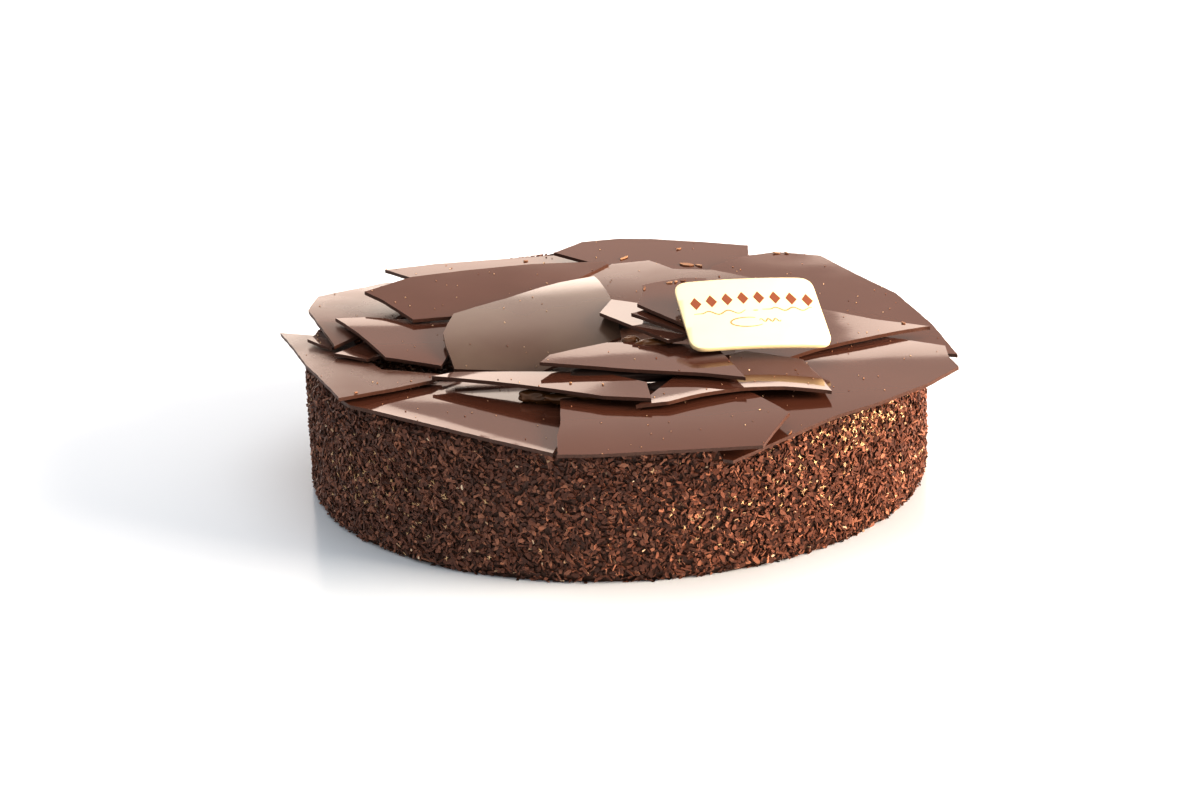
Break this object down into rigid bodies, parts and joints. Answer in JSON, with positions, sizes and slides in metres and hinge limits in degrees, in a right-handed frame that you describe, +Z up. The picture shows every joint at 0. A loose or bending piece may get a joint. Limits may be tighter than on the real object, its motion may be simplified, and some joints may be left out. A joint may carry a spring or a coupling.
{
  "type": "sachertorte cake",
  "caption": "Round uncut chocolate cake with a side coated in fine dark chocolate flakes, topped by a heap of thin snapped and curled dark chocolate shards and a small white chocolate tag.",
  "frame": {"origin": "centre of the flat underside of the cake, on its upright axis", "axes": "+Z up along the cake's axis, -Y to the front, where the white tag faces, +X to the right seen from the front"},
  "size_m": [0.2191, 0.2182, 0.0716],
  "materials": {
    "chocolate_flakes": "rough coat of fine dark chocolate flakes, each with a soft sheen",
    "dark_chocolate": "tempered dark chocolate, smooth and glossy on top, dull on the snapped edges",
    "white_chocolate": "smooth satin ivory with a cocoa-brown ornament"
  },
  "bodies": {
    "root": {"cake_body": "chocolate_flakes", "shard_back_under": "dark_chocolate", "shard_back_left": "dark_chocolate", "shard_back": "dark_chocolate", "shard_right_back": "dark_chocolate", "shard_front_left": "dark_chocolate", "shard_right_front": "dark_chocolate", "shard_front": "dark_chocolate", "shard_left_point": "dark_chocolate", "splinter_left": "dark_chocolate", "splinter_left_back": "dark_chocolate", "shard_left_arch": "dark_chocolate", "shard_centre": "dark_chocolate", "shard_left_curl": "dark_chocolate", "shard_back_lean": "dark_chocolate", "shard_right_curl": "dark_chocolate", "shard_front_strip": "dark_chocolate", "shard_right_strip": "dark_chocolate", "shard_centre_curl": "dark_chocolate", "shard_front_top": "dark_chocolate", "shard_small_light": "dark_chocolate", "shard_small_lower": "dark_chocolate", "shard_small_upper": "dark_chocolate", "white_tag": "white_chocolate"}
  },
  "joints": []
}
